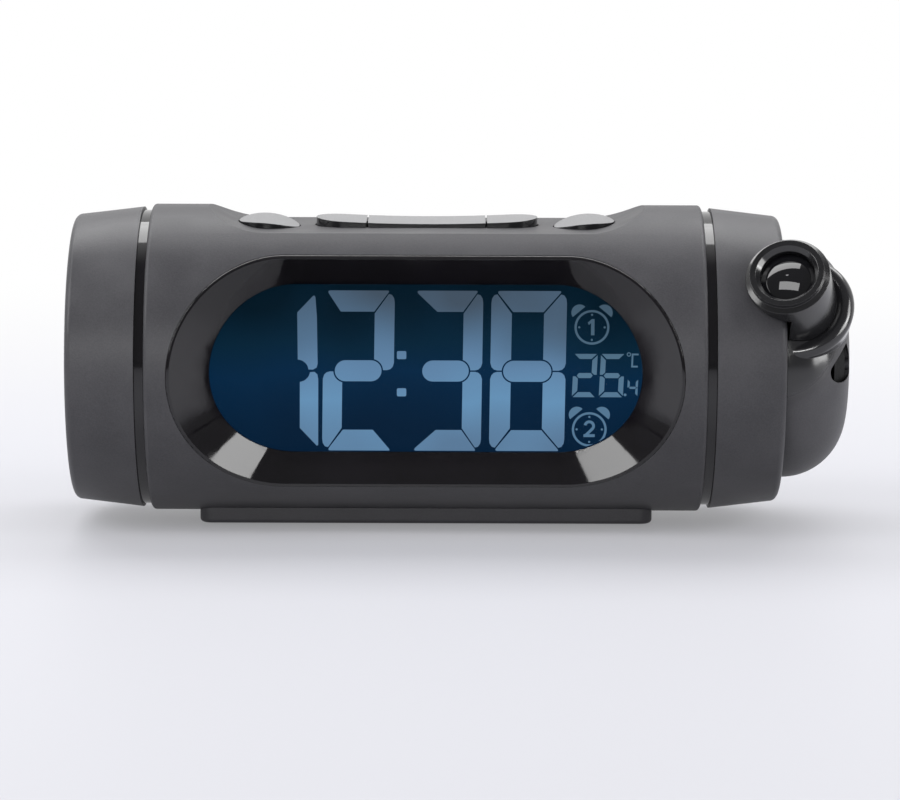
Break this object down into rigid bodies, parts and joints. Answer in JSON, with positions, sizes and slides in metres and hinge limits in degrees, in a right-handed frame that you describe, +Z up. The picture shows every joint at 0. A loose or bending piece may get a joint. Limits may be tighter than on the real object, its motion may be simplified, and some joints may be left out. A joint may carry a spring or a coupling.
{
  "type": "projection alarm clock",
  "caption": "Round bar-shaped table alarm clock with a backlit digital display, keys on top and a turning projector pod with a focusing lens on its right end.",
  "frame": {"origin": "middle of the rubber pad's underside, on the table", "axes": "+X along the body towards the projector pod, the display faces -Y, +Z up from the table"},
  "size_m": [0.1917, 0.0777, 0.0784],
  "materials": {
    "foot_plastic": "matte, fine grain",
    "pad_rubber": "matte",
    "screw_steel": "zinc plated",
    "casing_plastic": "fine sand texture",
    "gloss_black": "polished",
    "window_clear": "clear",
    "lens_clear": "clear, coated",
    "display_glass": "dark blue display behind clear polariser",
    "white_plastic": "matte",
    "copper_foil": "matte foil",
    "board_green": "solder mask",
    "chip_black": "matte",
    "barrel_black": "satin black",
    "cell_jacket": "printed-free jacket",
    "spring_steel": "nickel plated",
    "key_grey": "satin top, glossy side"
  },
  "bodies": {
    "clock": {"foot": "foot_plastic", "foot_pad": "pad_rubber", "foot_screws": "screw_steel", "front_casing": "casing_plastic", "rear_casing": "casing_plastic", "casing_screws": "screw_steel", "display_bezel": "gloss_black", "display_window": "window_clear", "display_glass": "display_glass", "light_guide": "white_plastic", "display_frame": "white_plastic", "display_ribbon": "copper_foil", "main_board": "board_green", "board_parts": "chip_black", "key_board": "board_green", "key_switches": "chip_black", "left_seam_ring": "gloss_black", "right_seam_ring": "gloss_black", "left_end_cap": "casing_plastic", "right_end_cap": "casing_plastic", "cap_screws": "screw_steel", "speaker": "chip_black", "power_inlet": "chip_black", "battery_cells": "cell_jacket", "battery_contacts": "spring_steel", "rear_key_board": "board_green", "rear_key_switches": "chip_black", "friction_washer": "white_plastic"},
    "left_round": {"left_round_key": "key_grey"},
    "right_round": {"right_round_key": "key_grey"},
    "left_bar": {"left_bar_key": "key_grey"},
    "snooze": {"snooze_key": "key_grey"},
    "right_bar": {"right_bar_key": "key_grey"},
    "time": {"time_key": "key_grey"},
    "alarm": {"alarm_key": "key_grey"},
    "down": {"down_key": "key_grey"},
    "up": {"up_key": "key_grey"},
    "cover": {"battery_cover": "casing_plastic"},
    "pod": {"pod_shell": "casing_plastic", "pod_base": "chip_black", "retaining_ring": "spring_steel", "pod_screws": "screw_steel", "lamp_tube": "chip_black", "projector_lamp": "window_clear", "condenser_lens": "lens_clear", "slide_cell": "display_glass"},
    "lens": {"lens_barrel": "barrel_black", "projection_lens": "lens_clear"},
    "wheel": {"focus_wheel": "chip_black"}
  },
  "joints": [
    {"name": "left_round_press", "type": "slide", "parent": "clock", "child": "left_round", "axis": [0, 0, -1], "range_m": [0, 0.0008], "stiffness_N_per_m": 600, "springref_m": -0.0008},
    {"name": "right_round_press", "type": "slide", "parent": "clock", "child": "right_round", "axis": [0, 0, -1], "range_m": [0, 0.0008], "stiffness_N_per_m": 600, "springref_m": -0.0008},
    {"name": "left_bar_press", "type": "slide", "parent": "clock", "child": "left_bar", "axis": [0, 0, -1], "range_m": [0, 0.0008], "stiffness_N_per_m": 600, "springref_m": -0.0008},
    {"name": "snooze_press", "type": "slide", "parent": "clock", "child": "snooze", "axis": [0, 0, -1], "range_m": [0, 0.0008], "stiffness_N_per_m": 600, "springref_m": -0.0008},
    {"name": "right_bar_press", "type": "slide", "parent": "clock", "child": "right_bar", "axis": [0, 0, -1], "range_m": [0, 0.0008], "stiffness_N_per_m": 600, "springref_m": -0.0008},
    {"name": "time_press", "type": "slide", "parent": "clock", "child": "time", "axis": [0, -0.866, -0.5], "range_m": [0, 0.0005], "stiffness_N_per_m": 600, "springref_m": -0.0008},
    {"name": "alarm_press", "type": "slide", "parent": "clock", "child": "alarm", "axis": [0, -0.866, -0.5], "range_m": [0, 0.0005], "stiffness_N_per_m": 600, "springref_m": -0.0008},
    {"name": "down_press", "type": "slide", "parent": "clock", "child": "down", "axis": [0, -0.866, -0.5], "range_m": [0, 0.0005], "stiffness_N_per_m": 600, "springref_m": -0.0008},
    {"name": "up_press", "type": "slide", "parent": "clock", "child": "up", "axis": [0, -0.866, -0.5], "range_m": [0, 0.0005], "stiffness_N_per_m": 600, "springref_m": -0.0008},
    {"name": "cover_tilt", "type": "hinge", "parent": "clock", "child": "cover", "pos_m": [0, 0.02602, 0.01271], "axis": [-1, 0, 0], "range_deg": [0, 35]},
    {"name": "pod_turn", "type": "hinge", "parent": "clock", "child": "pod", "pos_m": [0.0955, 0, 0.0404], "axis": [-1, 0, 0], "range_deg": [-36.8, 143.2]},
    {"name": "focus_turn", "type": "hinge", "parent": "pod", "child": "wheel", "pos_m": [0.1, -0.01498, 0.04126], "axis": [1, 0, 0], "range_deg": [-13, 13]},
    {"name": "focus_slide", "type": "slide", "parent": "pod", "child": "lens", "axis": [-0.2079, -0.7832, 0.5859], "range_m": [-0.0006, 0.0006]}
  ],
  "couplings": [
    {"joint": "focus_turn", "follows": "focus_slide", "rad_per_m": 349.65}
  ]
}
